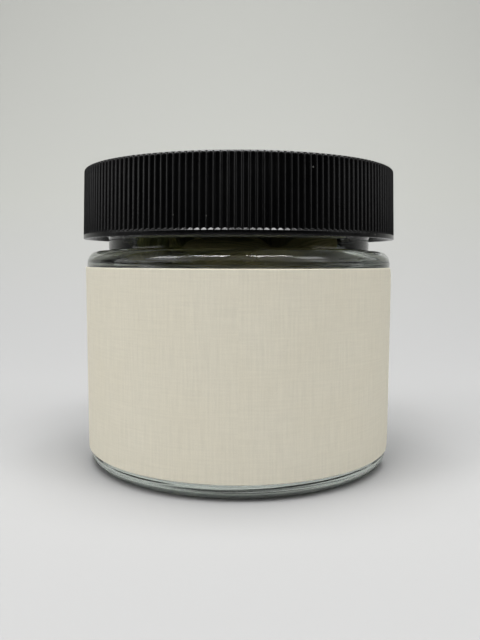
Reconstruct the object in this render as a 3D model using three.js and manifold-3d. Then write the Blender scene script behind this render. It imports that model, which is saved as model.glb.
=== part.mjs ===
// A small glass spice jar of green cardamom pods, with a ribbed black screw lid.
// Millimetres, +Z up. The origin is the centre of the jar's base, on the surface that it
// stands on, and the middle of the label faces -Y.
import * as THREE from "three";
import { mergeVertices } from "three/addons/utils/BufferGeometryUtils.js";
import Module from "manifold-3d";

// Jar: a 2 fluid ounce straight-sided jar with a one-turn 53 mm screw finish
const BODY_RADIUS = 27.2;
const INSIDE_RADIUS = 23.3;
const FOOT_RADIUS = 2.3;
const FLOOR_Z = 5.0;
const FLOOR_CORNER = 4.5;
const PUSH_UP = 0.9;
const SHOULDER_Z = 37.3;
const SHOULDER_RADIUS = 2.2;
const NECK_RADIUS = 23.46;
const NECK_BORE_RADIUS = 21.2;
const NECK_TOP_Z = 39.6;
const FINISH_RADIUS = 25.1;
const RIM_Z = 48.9;
const JAR_SIDES = 72;

// Thread: six turns to the inch, the same helix on the glass and in the lid
const PITCH = 4.2333;
const THREAD_STEP_DEGREES = 10;
const HELIX_Z = 42.2;
const GLASS_THREAD = { crest: 26.25, root: 24.8, wide: 1.9, narrow: 0.7, drop: 0, from: 0, to: 370 };
const LID_THREAD = {
  crest: 25.55, root: 26.95, wide: 1.6, narrow: 0.6, drop: PITCH / 2, from: 60, to: 430,
};

// Lid: a moulded plastic cap with fine upright ribs
const LID_BOTTOM_Z = 39.3;
const LID_TOP_Z = 51.2;
const LID_RADIUS = 27.75;
const LID_DRAFT = 0.03;
const LID_TOP_EDGE = 0.5;
const LID_BOTTOM_EDGE = 0.12;
const LID_BAND = 0.7;
const RIB_COUNT = 174;
const RIB_DEPTH = 0.3;
const RIB_RAMP = 0.38;
const LID_INSIDE_RADIUS = 26.65;
const LID_PANEL = 1.2;
const LID_SIDES = 72;

// Liner: the soft disc in the lid that seals against the rim
const LINER_RADIUS = 25.9;
const LINER_BOTTOM_Z = RIM_Z + 0.08;
const LINER_TOP_Z = LID_TOP_Z - LID_PANEL - 0.08;

// Label: a paper wrap round the front of the jar
const LABEL_WIDTH = 76.2;
const LABEL_BOTTOM_Z = 2.75;
const LABEL_TOP_Z = 34.5;
const LABEL_CORNER = 3.2;
const LABEL_TURN_DEGREES = -5;
const LABEL_GAP = 0.06;
const LABEL_THICKNESS = 0.2;

// Pods: dry cardamom capsules, three-sided and pointed, tumbled into the jar
const POD_COUNT = 55;
const POD_LENGTH = 17.6;
const POD_WIDTH = 8.7;
const POD_SPREAD = 0.1;
const POD_LOBE = 0.075;
const POD_SIDES = 9;
const POD_RING_AT = [0.07, 0.24, 0.46, 0.7, 0.9];
const POD_SPHERES = 7;
const POD_CLEARANCE = 0.2;
const POD_TOP_Z = LINER_BOTTOM_Z - 1.0;
const POUR_SEED = 18;

const TURN = 2 * Math.PI;

const glass = new THREE.MeshStandardMaterial({
  color: 0xc4cfc4,
  roughness: 0.06,
  metalness: 0,
  transparent: true,
  opacity: 0.35,
});
const blackPlastic = new THREE.MeshStandardMaterial({
  color: 0x0b0b0c,
  roughness: 0.38,
  metalness: 0,
});
const linerFoam = new THREE.MeshStandardMaterial({
  color: 0xe6e6e2,
  roughness: 0.7,
  metalness: 0,
});
const labelPaper = new THREE.MeshStandardMaterial({
  color: 0xd9d4bc,
  roughness: 0.85,
  metalness: 0,
});
const podHusk = new THREE.MeshStandardMaterial({
  color: 0x8d9352,
  roughness: 0.8,
  metalness: 0,
});

const wasm = await Module();
wasm.setup();

// A closed geometry as a solid that can be joined and cut.
function toSolid(geometry) {
  const bare = geometry.clone();
  bare.deleteAttribute("normal");
  bare.deleteAttribute("uv");
  const merged = mergeVertices(bare, 1e-4);
  return new wasm.Manifold(
    new wasm.Mesh({
      numProp: 3,
      vertProperties: merged.attributes.position.array,
      triVerts: new Uint32Array(merged.index.array),
    }),
  );
}

// A solid as a geometry again.
function toGeometry(solid) {
  const mesh = solid.getMesh();
  const geometry = new THREE.BufferGeometry();
  geometry.setAttribute("position", new THREE.BufferAttribute(mesh.vertProperties, 3));
  geometry.setIndex(new THREE.BufferAttribute(mesh.triVerts, 1));
  geometry.computeVertexNormals();
  return geometry;
}

// A profile of [radius, height] points turned round the Z axis.
function turned(profile, sides) {
  const points = profile.map(([r, z]) => new THREE.Vector2(Math.max(r, 0), z));
  return new THREE.LatheGeometry(points, sides).rotateX(Math.PI / 2);
}

// Points of a round corner, from one angle to another in degrees, about its centre.
function corner([r, z], radius, from, to, steps) {
  return Array.from({ length: steps + 1 }, (_, i) => {
    const angle = THREE.MathUtils.degToRad(from + ((to - from) * i) / steps);
    return [r + radius * Math.cos(angle), z + radius * Math.sin(angle)];
  });
}

// A ridge of trapezium section wound round the Z axis, right-handed, with its ends faded out.
function threadRidge({ crest, root, wide, narrow, drop, from, to }) {
  const steps = Math.round((to - from) / THREAD_STEP_DEGREES);
  const fade = 3 / steps;
  const ridge = new THREE.BoxGeometry(1, 1, 1, steps, 1, 1);
  const place = ridge.attributes.position;
  for (let i = 0; i < place.count; i++) {
    const along = place.getX(i) + 0.5;
    const out = place.getY(i) + 0.5;
    const angle = THREE.MathUtils.degToRad(THREE.MathUtils.lerp(from, to, along));
    const height = Math.min(1, along / fade, (1 - along) / fade) * 0.75 + 0.25;
    const radius = root + (crest - root) * out * height;
    const aside = place.getZ(i) * THREE.MathUtils.lerp(wide, narrow, out * height);
    place.setXYZ(
      i,
      radius * Math.cos(angle),
      radius * Math.sin(angle),
      HELIX_Z - drop + (PITCH * angle) / TURN + aside,
    );
  }
  return ridge;
}

// A geometry with every face turned over.
function flipped(geometry) {
  const order = geometry.index.array;
  for (let i = 0; i < order.length; i += 3) {
    [order[i + 1], order[i + 2]] = [order[i + 2], order[i + 1]];
  }
  return geometry;
}

// Joins solids and gives the geometry of the result.
function joined(...solids) {
  return toGeometry(solids.reduce((whole, next) => whole.add(next)));
}

// Jar: foot, wall, shoulder, neck and rim outside, then down the bore to the floor
function jarGeometry() {
  const profile = [
    [0, PUSH_UP],
    [BODY_RADIUS - 6, PUSH_UP],
    [BODY_RADIUS - 4, 0],
    [BODY_RADIUS - FOOT_RADIUS, 0],
    ...corner([BODY_RADIUS - FOOT_RADIUS, FOOT_RADIUS], FOOT_RADIUS, -60, 0, 3),
    ...corner(
      [BODY_RADIUS - SHOULDER_RADIUS, SHOULDER_Z - SHOULDER_RADIUS], SHOULDER_RADIUS, 0, 90, 4,
    ),
    [NECK_RADIUS + 0.4, SHOULDER_Z],
    [NECK_RADIUS, SHOULDER_Z + 0.5],
    [NECK_RADIUS, NECK_TOP_Z],
    [FINISH_RADIUS, NECK_TOP_Z + 0.9],
    ...corner([FINISH_RADIUS - 0.7, RIM_Z - 0.7], 0.7, 0, 90, 2),
    ...corner([NECK_BORE_RADIUS + 0.7, RIM_Z - 0.7], 0.7, 90, 180, 2),
    [NECK_BORE_RADIUS, NECK_TOP_Z - 1.2],
    [NECK_BORE_RADIUS + 0.5, SHOULDER_Z - 1.8],
    [INSIDE_RADIUS - 0.5, SHOULDER_Z - 3.4],
    [INSIDE_RADIUS, SHOULDER_Z - 4.6],
    ...corner(
      [INSIDE_RADIUS - FLOOR_CORNER, FLOOR_Z + FLOOR_CORNER], FLOOR_CORNER, 0, -90, 3,
    ),
    [0, FLOOR_Z],
  ];
  return joined(toSolid(turned(profile, JAR_SIDES)), toSolid(flipped(threadRidge(GLASS_THREAD))));
}

// Lid outside: flat top, round edge, ribbed wall and the plain band at the bottom
function lidOutside() {
  const wallAt = (z) => LID_RADIUS - LID_DRAFT * (z - LID_BOTTOM_Z);
  const ribTop = LID_TOP_Z - LID_TOP_EDGE;
  const ribBottom = LID_BOTTOM_Z + LID_BAND;
  const rows = [
    { r: wallAt(ribTop) - LID_TOP_EDGE, z: LID_TOP_Z, groove: 0 },
    { r: wallAt(ribTop) - 0.3 * LID_TOP_EDGE, z: LID_TOP_Z - 0.3 * LID_TOP_EDGE, groove: 0.6 },
    { r: wallAt(ribTop), z: ribTop, groove: 1 },
    { r: wallAt(ribBottom), z: ribBottom + RIB_RAMP, groove: 1 },
    { r: wallAt(ribBottom), z: ribBottom, groove: 0 },
    { r: LID_RADIUS, z: LID_BOTTOM_Z + LID_BOTTOM_EDGE, groove: 0 },
    { r: LID_RADIUS - LID_BOTTOM_EDGE, z: LID_BOTTOM_Z, groove: 0 },
  ];
  const profile = [[0, LID_TOP_Z], ...rows.map(({ r, z }) => [r, z]), [0, LID_BOTTOM_Z]].reverse();
  const shell = turned(profile, 2 * RIB_COUNT);
  const place = shell.attributes.position;
  for (let i = 0; i < place.count; i++) {
    const [x, y, z] = [place.getX(i), place.getY(i), place.getZ(i)];
    const row = rows.find((each) => Math.abs(each.z - z) < 1e-4 && Math.hypot(x, y) > 1);
    const between = Math.round((Math.atan2(y, x) / TURN) * 2 * RIB_COUNT) % 2 !== 0;
    if (row && between) {
      const shrink = 1 - (RIB_DEPTH * row.groove) / row.r;
      place.setXY(i, x * shrink, y * shrink);
    }
  }
  return shell;
}

// Lid: the ribbed outside less a plain well, with the thread ridge inside
function lidGeometry() {
  const ceiling = LID_TOP_Z - LID_PANEL;
  const well = [
    [0, LID_BOTTOM_Z - 1],
    [LID_INSIDE_RADIUS + 0.25, LID_BOTTOM_Z - 1],
    [LID_INSIDE_RADIUS + 0.25, LID_BOTTOM_Z],
    [LID_INSIDE_RADIUS, LID_BOTTOM_Z + 0.4],
    [LID_INSIDE_RADIUS, ceiling - 0.5],
    [LID_INSIDE_RADIUS - 0.5, ceiling],
    [0, ceiling],
  ];
  const cup = toSolid(lidOutside()).subtract(toSolid(turned(well, LID_SIDES)));
  return joined(cup, toSolid(threadRidge(LID_THREAD)));
}

// Liner: a plain disc
function linerGeometry() {
  const profile = [
    [0, LINER_BOTTOM_Z],
    [LINER_RADIUS, LINER_BOTTOM_Z],
    [LINER_RADIUS, LINER_TOP_Z],
    [0, LINER_TOP_Z],
  ];
  return turned(profile, LID_SIDES);
}

// Label: a thin sheet with round corners, bent to the jar's wall
function labelGeometry() {
  const inner = BODY_RADIUS + LABEL_GAP;
  const middle = inner + LABEL_THICKNESS / 2;
  const height = LABEL_TOP_Z - LABEL_BOTTOM_Z;
  const reach = LABEL_WIDTH / middle / 2;
  const facing = THREE.MathUtils.degToRad(LABEL_TURN_DEGREES);
  const cornerReach = LABEL_CORNER / middle;
  const columns = Math.round(((reach - cornerReach) * 2 * JAR_SIDES) / TURN);
  const cornerSteps = 3;
  const sheet = new THREE.BoxGeometry(1, 1, 1, columns + 2 * cornerSteps, 1, 1);
  const place = sheet.attributes.position;
  const last = columns + 2 * cornerSteps;
  for (let i = 0; i < place.count; i++) {
    const step = Math.round((place.getX(i) + 0.5) * last);
    const fromEnd = Math.min(step, last - step);
    const side = Math.sign(step - last / 2);
    let angle = ((step - last / 2) / columns) * 2 * (reach - cornerReach);
    let trim = 0;
    if (fromEnd < cornerSteps) {
      const bend = ((cornerSteps - fromEnd) / cornerSteps) * (Math.PI / 2);
      angle = side * (reach - cornerReach + cornerReach * Math.sin(bend));
      trim = LABEL_CORNER * (1 - Math.cos(bend));
    }
    const radius = inner + LABEL_THICKNESS * (0.5 - place.getY(i));
    place.setXYZ(
      i,
      radius * Math.sin(facing + angle),
      -radius * Math.cos(facing + angle),
      LABEL_BOTTOM_Z + height / 2 + place.getZ(i) * (height - 2 * trim),
    );
  }
  return sheet;
}

// Repeatable random numbers from 0 to 1.
function randomFrom(seed) {
  let state = seed;
  return () => {
    state = (state + 0x6d2b79f5) | 0;
    let mixed = Math.imul(state ^ (state >>> 15), 1 | state);
    mixed = (mixed + Math.imul(mixed ^ (mixed >>> 7), 61 | mixed)) ^ mixed;
    return ((mixed ^ (mixed >>> 14)) >>> 0) / 4294967296;
  };
}

// How wide a pod is along its length, from stalk end at 0 to beak at 1, as a share of its width.
function podFullness(along) {
  return Math.sin(Math.PI * Math.pow(along, 0.86)) ** 0.62;
}

// A pod along Z, with three round ridges and a point at each end.
function podGeometry(length, width) {
  const rings = [[0, -length / 2]];
  for (const along of POD_RING_AT) {
    rings.push([(podFullness(along) * width) / 2, (along - 0.5) * length]);
  }
  rings.push([0, length / 2]);
  const pod = turned(rings, POD_SIDES);
  const place = pod.attributes.position;
  for (let i = 0; i < place.count; i++) {
    const [x, y] = [place.getX(i), place.getY(i)];
    const aroundPod = Math.atan2(y, x) + Math.PI / 2;
    const lobe = 1 - POD_LOBE * (1 - Math.cos(3 * aroundPod));
    place.setXY(i, x * lobe, y * lobe);
  }
  return pod;
}

// Inside radius of the jar that a ball of a given radius may touch at a height.
function roomAt(z) {
  if (z < SHOULDER_Z - 4.6) return INSIDE_RADIUS;
  const share = Math.min(1, (z - SHOULDER_Z + 4.6) / 3.4);
  return INSIDE_RADIUS + (NECK_BORE_RADIUS - INSIDE_RADIUS) * share;
}

// A pod as a row of balls that fills its outline, for the pour.
function pouredPod(random, index) {
  const scale = 1 + POD_SPREAD * (2 * random() - 1);
  const length = POD_LENGTH * scale;
  const width = POD_WIDTH * (1 + POD_SPREAD * (2 * random() - 1));
  const balls = Array.from({ length: POD_SPHERES }, (_, i) => {
    const along = 0.1 + (0.8 * i) / (POD_SPHERES - 1);
    const radius = (podFullness(along) * width) / 2;
    return { offset: (along - 0.5) * length, radius: radius + POD_CLEARANCE };
  });
  for (const side of [-1, 1]) {
    balls.push({ offset: side * (length / 2 - 0.35), radius: 0.35 + POD_CLEARANCE });
  }
  const around = random() * TURN;
  const out = (INSIDE_RADIUS - 9) * Math.sqrt(random());
  const axis = new THREE.Vector3(random() - 0.5, random() - 0.5, random() - 0.5).normalize();
  return {
    length,
    width,
    balls,
    roll: random() * TURN,
    centre: new THREE.Vector3(
      out * Math.cos(around), out * Math.sin(around), FLOOR_Z + 8 + index * 1.15,
    ),
    axis,
  };
}

// Moves a pod by a push at one of its balls: part shift, part turn.
function push(pod, offset, shove) {
  const inertia = (pod.length * pod.length) / 14;
  const weight = 1 / (1 + (offset * offset) / inertia);
  pod.centre.addScaledVector(shove, weight);
  const arm = (offset / inertia) * weight;
  pod.axis.addScaledVector(shove, arm).normalize();
}

// Pushes two pods apart where their balls overlap.
function separate(a, b) {
  const reach = (a.length + b.length) / 2;
  if (a.centre.distanceToSquared(b.centre) > reach * reach) return;
  const [p, q, gap] = [new THREE.Vector3(), new THREE.Vector3(), new THREE.Vector3()];
  for (const ballA of a.balls) {
    for (const ballB of b.balls) {
      p.copy(a.centre).addScaledVector(a.axis, ballA.offset);
      q.copy(b.centre).addScaledVector(b.axis, ballB.offset);
      gap.subVectors(p, q);
      const apart = gap.length();
      const overlap = ballA.radius + ballB.radius - apart;
      if (overlap > 0) {
        gap.multiplyScalar((0.5 * overlap) / Math.max(apart, 1e-6));
        push(a, ballA.offset, gap);
        push(b, ballB.offset, gap.negate());
      }
    }
  }
}

// Keeps a pod inside the jar's wall, off its floor and under the liner.
function contain(pod, ceiling) {
  const [p, shove] = [new THREE.Vector3(), new THREE.Vector3()];
  for (const ball of pod.balls) {
    p.copy(pod.centre).addScaledVector(pod.axis, ball.offset);
    const low = FLOOR_Z + ball.radius - p.z;
    if (low > 0) push(pod, ball.offset, shove.set(0, 0, low));
    const high = p.z + ball.radius - ceiling;
    if (high > 0) push(pod, ball.offset, shove.set(0, 0, -high));
    const out = Math.hypot(p.x, p.y);
    const cornerRise = Math.max(0, FLOOR_Z + FLOOR_CORNER - p.z);
    const wall = roomAt(p.z) - (cornerRise * cornerRise) / (2 * FLOOR_CORNER);
    const past = out + ball.radius - wall;
    if (past > 0) push(pod, ball.offset, shove.set((-p.x * past) / out, (-p.y * past) / out, 0));
  }
}

// Pours the pods: they fall a little, are pushed apart, and at last are only pushed apart.
function pourPods() {
  const random = randomFrom(POUR_SEED);
  const pods = Array.from({ length: POD_COUNT }, (_, i) => pouredPod(random, i));
  const fallSteps = 420;
  const restSteps = 500;
  for (let step = 0; step < fallSteps + restSteps; step++) {
    const falling = step < fallSteps;
    const ceiling = falling ? 200 : POD_TOP_Z;
    if (falling) pods.forEach((pod) => (pod.centre.z -= 0.3 * (1 - step / fallSteps) + 0.03));
    for (let sweep = 0; sweep < (falling ? 3 : 4); sweep++) {
      pods.forEach((a, i) => pods.slice(i + 1).forEach((b) => separate(a, b)));
      pods.forEach((pod) => contain(pod, ceiling));
    }
  }
  return pods;
}

// A mesh with its name and material.
function piece(name, geometry, material) {
  const mesh = new THREE.Mesh(geometry, material);
  mesh.name = name;
  return mesh;
}

const jarOfPods = new THREE.Group();

const filledJar = new THREE.Group();
filledJar.add(piece("jar", jarGeometry(), glass));
filledJar.add(piece("label", labelGeometry(), labelPaper));
jarOfPods.add(filledJar);

const contents = new THREE.Group();
pourPods().forEach((pod, i) => {
  const name = "pod_" + String(i + 1).padStart(2, "0");
  const mesh = piece(name, podGeometry(pod.length, pod.width), podHusk);
  const lie = new THREE.Quaternion().setFromUnitVectors(new THREE.Vector3(0, 0, 1), pod.axis);
  mesh.quaternion.copy(lie);
  mesh.rotateZ(pod.roll);
  mesh.position.copy(pod.centre);
  contents.add(mesh);
});
filledJar.add(contents);

const cap = new THREE.Group();
cap.add(piece("lid", lidGeometry(), blackPlastic));
cap.add(piece("liner", linerGeometry(), linerFoam));
jarOfPods.add(cap);

export default jarOfPods;
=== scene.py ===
"""A small glass spice jar of green cardamom pods: its looks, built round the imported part."""

import math
import random

import bpy
import numpy as np
from mathutils import Matrix, Vector, noise


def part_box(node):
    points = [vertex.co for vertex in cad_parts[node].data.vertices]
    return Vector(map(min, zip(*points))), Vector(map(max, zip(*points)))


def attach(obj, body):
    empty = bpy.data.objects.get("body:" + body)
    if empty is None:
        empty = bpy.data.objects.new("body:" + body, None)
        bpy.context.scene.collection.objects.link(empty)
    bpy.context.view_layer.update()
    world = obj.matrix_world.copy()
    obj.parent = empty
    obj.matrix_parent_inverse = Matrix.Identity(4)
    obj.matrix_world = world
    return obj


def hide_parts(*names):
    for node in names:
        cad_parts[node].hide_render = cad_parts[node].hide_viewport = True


bl_info = {
    "name": "Jar of cardamom pods",
    "version": (1, 0, 0),
    "blender": (4, 5, 0),
    "location": "View3D > Sidebar > Cardamom jar",
    "description": "Builds the glass jar, ribbed lid, liner, paper label and pods, and their stage",
    "category": "Object",
}

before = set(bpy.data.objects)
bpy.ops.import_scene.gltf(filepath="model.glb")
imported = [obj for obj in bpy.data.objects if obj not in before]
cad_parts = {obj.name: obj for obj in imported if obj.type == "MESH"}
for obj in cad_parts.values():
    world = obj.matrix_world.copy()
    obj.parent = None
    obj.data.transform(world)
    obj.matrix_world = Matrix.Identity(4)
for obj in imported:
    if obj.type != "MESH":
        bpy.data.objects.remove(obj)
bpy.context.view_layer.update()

MM = 0.001
TURN = 2 * math.pi
POD_NODES = sorted(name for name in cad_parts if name.startswith("pod_"))
JAR_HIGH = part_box("jar")[1]
LID_LOW, LID_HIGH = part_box("lid")
LINER_LOW, LINER_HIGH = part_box("liner")
LABEL_LOW, LABEL_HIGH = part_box("label")

# Jar heights and radii that its box doesn't give
SHOULDER_Z = 37.3 * MM
SHOULDER_RADIUS = 2.2 * MM
NECK_RADIUS = 23.46 * MM
NECK_TOP_Z = 39.6 * MM
NECK_BORE_RADIUS = 21.2 * MM
BORE_END_Z = NECK_TOP_Z - 0.6 * MM
FINISH_RADIUS = 25.1 * MM
INSIDE_RADIUS = 23.3 * MM
FLOOR_Z = 5.0 * MM
FLOOR_CORNER = 4.5 * MM
FOOT_RADIUS = 2.3 * MM
PUSH_UP = 0.9 * MM
BEARING_RING = (23.2 * MM, 24.9 * MM)

# Lid and label sizes that their boxes don't give
LID_WALL_RADIUS = 26.65 * MM
LID_MOUTH_RADIUS = 26.9 * MM
LID_CEILING_Z = LINER_HIGH.z + 0.08 * MM
LABEL_INNER_RADIUS = 27.26 * MM
LABEL_THICKNESS = 0.2 * MM
LEDGE_DEGREES = 36.4
FLUTE_SHARPNESS = 2.4
LINER_SIDES = 180

# The screw thread, the same helix on the glass and in the lid
PITCH = 4.2333 * MM
HELIX_Z = 42.2 * MM
GLASS_THREAD = {"rise": 1.15 * MM, "half_width": 0.95 * MM, "drop": 0.0, "from": 0, "to": 370}
LID_THREAD = {"rise": 1.1 * MM, "half_width": 0.8 * MM, "drop": PITCH / 2, "from": 60, "to": 430}
THREAD_FADE_DEGREES = 30
THREAD_STEEPNESS = 1.7

# Where along its length a pod is widest
POD_MIDDLE = 0.46

# Camera, found from the outlines of the lid, label and foot in the photograph
PHOTO_SIZE = (480, 640)
FOCAL_PIXELS = 639.4
CAMERA_PLACE = Vector((0.0, -0.11859, 0.03579))
CAMERA_YAW = 0.0023
CAMERA_PITCH = 0.094
CAMERA_ROLL = 0.0028
SENSOR_MM = 36.0


class JarSettings(bpy.types.PropertyGroup):
    """Sizes and colours of the glass jar"""

    sides: bpy.props.IntProperty(
        name="Sides", description="Facets round the glass", default=240, min=48, max=480
    )
    tint: bpy.props.FloatVectorProperty(
        name="Tint", description="Colour of the glass", subtype="COLOR", size=3,
        default=(0.95, 0.975, 0.955), min=0, max=1,
    )
    ripple: bpy.props.FloatProperty(
        name="Ripple", description="Height of the waves that moulding leaves in the glass",
        default=0.00014, unit="LENGTH",
    )
    haze: bpy.props.FloatProperty(
        name="Haze", description="Roughness of the dust film inside the shoulder",
        default=0.5, min=0, max=1,
    )
    depth_tint: bpy.props.FloatVectorProperty(
        name="Depth tint", description="Colour that thick glass takes on", subtype="COLOR",
        size=3, default=(0.50, 0.57, 0.52), min=0, max=1,
    )
    depth: bpy.props.FloatProperty(
        name="Depth", description="How fast the glass darkens with thickness", default=14.0,
        min=0,
    )


class LidSettings(bpy.types.PropertyGroup):
    """Sizes and colours of the screw lid"""

    rib_count: bpy.props.IntProperty(
        name="Ribs", description="Upright ribs round the lid", default=174, min=12, max=240
    )
    rib_depth: bpy.props.FloatProperty(
        name="Rib depth", description="How deep the flutes between ribs are",
        default=0.00025, unit="LENGTH",
    )
    band_height: bpy.props.FloatProperty(
        name="Band height", description="Height of the plain band under the ribs",
        default=0.00070, unit="LENGTH",
    )
    plastic: bpy.props.FloatVectorProperty(
        name="Plastic", description="Colour of the lid", subtype="COLOR", size=3,
        default=(0.0022, 0.0022, 0.0025), min=0, max=1,
    )
    foam: bpy.props.FloatVectorProperty(
        name="Foam", description="Colour of the liner", subtype="COLOR", size=3,
        default=(0.78, 0.77, 0.73), min=0, max=1,
    )


class LabelSettings(bpy.types.PropertyGroup):
    """Sizes and colours of the paper label"""

    width: bpy.props.FloatProperty(
        name="Width", description="Length of the label round the jar",
        default=0.0762, unit="LENGTH",
    )
    corner: bpy.props.FloatProperty(
        name="Corner radius", description="Radius of the label's cut corners",
        default=0.0032, unit="LENGTH",
    )
    facing: bpy.props.FloatProperty(
        name="Facing", description="How far the label's middle is turned from the front",
        default=math.radians(-5), subtype="ANGLE",
    )
    paper: bpy.props.FloatVectorProperty(
        name="Paper", description="Colour of the label", subtype="COLOR", size=3,
        default=(0.715, 0.684, 0.584), min=0, max=1,
    )


class PodSettings(bpy.types.PropertyGroup):
    """Sizes and colours of the pods"""

    sides: bpy.props.IntProperty(
        name="Sides", description="Facets round a pod", default=72, min=24, max=144
    )
    rings: bpy.props.IntProperty(
        name="Rings", description="Facets along a pod", default=42, min=12, max=96
    )
    lobe: bpy.props.FloatProperty(
        name="Lobes", description="How three-sided a pod is", default=0.075, min=0, max=0.3
    )
    rib_height: bpy.props.FloatProperty(
        name="Rib height", description="Height of the fine ribs along a pod",
        default=0.00011, unit="LENGTH",
    )
    green: bpy.props.FloatVectorProperty(
        name="Green", description="Colour of a fresh-looking husk", subtype="COLOR", size=3,
        default=(0.335, 0.35, 0.115), min=0, max=1,
    )
    straw: bpy.props.FloatVectorProperty(
        name="Straw", description="Colour of a faded husk", subtype="COLOR", size=3,
        default=(0.58, 0.49, 0.26), min=0, max=1,
    )
    seed: bpy.props.IntProperty(
        name="Seed", description="Start of the random draws for the husks", default=41
    )


class StageSettings(bpy.types.PropertyGroup):
    """Colours and light of the stage"""

    floor: bpy.props.FloatVectorProperty(
        name="Floor", description="Colour of the floor", subtype="COLOR", size=3,
        default=(0.352, 0.352, 0.352), min=0, max=1,
    )
    backdrop: bpy.props.FloatVectorProperty(
        name="Backdrop", description="Colour of the paper behind", subtype="COLOR", size=3,
        default=(0.362, 0.365, 0.347), min=0, max=1,
    )
    strip_watts: bpy.props.FloatProperty(
        name="Strips", description="Power of each strip light over the jar",
        default=0.53, min=0,
    )
    overhead_watts: bpy.props.FloatProperty(
        name="Overhead light", description="Power of the wide light overhead",
        default=5.9, min=0,
    )
    side_watts: bpy.props.FloatProperty(
        name="Side lights", description="Power of the square light high on the left",
        default=0.6, min=0,
    )
    fill: bpy.props.FloatProperty(
        name="Fill", description="Strength of the light from all round", default=0.21, min=0
    )


# Mesh helpers


def make_mesh(name, points, faces):
    """A smooth-shaded mesh object of that name, in the scene."""
    mesh = bpy.data.meshes.new(name)
    mesh.from_pydata([tuple(p) for p in points], [], [tuple(f) for f in faces])
    mesh.validate()
    mesh.polygons.foreach_set("use_smooth", [True] * len(mesh.polygons))
    mesh.update()
    piece = bpy.data.objects.new(name, mesh)
    bpy.context.scene.collection.objects.link(piece)
    return piece


def arc(centre, radius, start, end, steps):
    """Points (radius, height) of a round corner, by angles in degrees."""
    angles = np.radians(np.linspace(start, end, steps + 1))
    return [
        (centre[0] + radius * math.cos(a), centre[1] + radius * math.sin(a)) for a in angles
    ]


def straight(start, end, steps):
    """Points of a straight stretch, without its two ends."""
    shares = np.linspace(0, 1, steps + 1)[1:-1]
    return [
        (start[0] + (end[0] - start[0]) * s, start[1] + (end[1] - start[1]) * s)
        for s in shares
    ]


def ring_points(radii, height, angles):
    """One ring of points; radii may be one number or one for each angle."""
    radii = np.broadcast_to(radii, angles.shape)
    return np.stack([radii * np.cos(angles), radii * np.sin(angles),
                     np.broadcast_to(height, angles.shape)], axis=1)


class Skin:
    """Points and faces of a surface that is built ring by ring."""

    def __init__(self):
        self.points = []
        self.faces = []

    def ring(self, points):
        """Adds a ring and returns its point numbers."""
        first = len(self.points)
        self.points.extend(points)
        return list(range(first, first + len(points)))

    def tip(self, point):
        """Adds one point on the axis and returns its number."""
        self.points.append(point)
        return len(self.points) - 1

    def join(self, low, high):
        """Joins two rings of equal count with quads."""
        count = len(low)
        for i in range(count):
            j = (i + 1) % count
            self.faces.append((low[i], low[j], high[j], high[i]))

    def fan(self, tip, ring, upward):
        """Closes a ring with triangles to a tip."""
        count = len(ring)
        for i in range(count):
            j = (i + 1) % count
            self.faces.append((tip, ring[i], ring[j]) if upward else (tip, ring[j], ring[i]))

    def gather(self, fine, coarse, upward):
        """Joins a fine ring to a coarse one that has a whole number of times fewer points."""
        ratio = len(fine) // len(coarse)
        half = ratio // 2
        for k, point in enumerate(coarse):
            following = coarse[(k + 1) % len(coarse)]
            for step in range(ratio):
                a = fine[(k * ratio + step) % len(fine)]
                b = fine[(k * ratio + step + 1) % len(fine)]
                near = point if step < half else following
                self.faces.append((a, b, near) if upward else (b, a, near))
            middle = fine[(k * ratio + half) % len(fine)]
            self.faces.append((point, middle, following) if upward else (middle, point, following))


def thread_rise(thread, angles, height):
    """How far a screw thread stands out at these angles and this height."""
    rise = np.zeros_like(angles)
    for turn in (-1, 0, 1, 2):
        along = np.degrees(angles) + 360 * turn
        centre = HELIX_Z - thread["drop"] + PITCH * along / 360
        ends = np.minimum(along - thread["from"], thread["to"] - along)
        fade = np.clip(ends / THREAD_FADE_DEGREES, 0, 1)
        fade = fade * fade * (3 - 2 * fade)
        aside = np.clip(1 - np.abs(height - centre) / thread["half_width"], 0, 1)
        flank = np.clip(aside * THREAD_STEEPNESS, 0, 1)
        flank = flank * flank * (3 - 2 * flank)
        rise = np.maximum(rise, thread["rise"] * flank * fade)
    return rise


# Shader helpers


def new_material(name):
    """An empty material: itself, its node tree, its Principled shader and its output."""
    material = bpy.data.materials.new(name)
    material.use_nodes = True
    nodes = material.node_tree.nodes
    nodes.clear()
    output = nodes.new("ShaderNodeOutputMaterial")
    shader = nodes.new("ShaderNodeBsdfPrincipled")
    material.node_tree.links.new(shader.outputs["BSDF"], output.inputs["Surface"])
    return material, material.node_tree, shader, output


def feed(tree, socket, value):
    """Links another node's output to a socket, or sets a plain value."""
    if isinstance(value, bpy.types.NodeSocket):
        tree.links.new(value, socket)
    else:
        socket.default_value = value


def node(tree, kind, **values):
    """A node with its settings and inputs, which are named or counted as _0, _1 and so on."""
    made = tree.nodes.new(kind)
    for key, value in values.items():
        if hasattr(made, key):
            setattr(made, key, value)
        elif key[1:].isdigit():
            feed(tree, made.inputs[int(key[1:])], value)
        else:
            feed(tree, made.inputs[key.replace("_", " ")], value)
    return made


def calc(tree, operation, *values):
    """The result of a Math node."""
    made = node(tree, "ShaderNodeMath", operation=operation)
    for socket, value in zip(made.inputs, values):
        feed(tree, socket, value)
    return made.outputs[0]


def ramp(tree, value, low, high, start=0.0, end=1.0, kind="LINEAR"):
    """A value carried over from the range low to high to the range start to end."""
    return node(tree, "ShaderNodeMapRange", Value=value, From_Min=low, From_Max=high,
                To_Min=start, To_Max=end, interpolation_type=kind).outputs[0]


def mix(tree, factor, first, second):
    """A mix of two numbers."""
    return node(tree, "ShaderNodeMix", Factor=factor, A=first, B=second).outputs[0]


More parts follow.
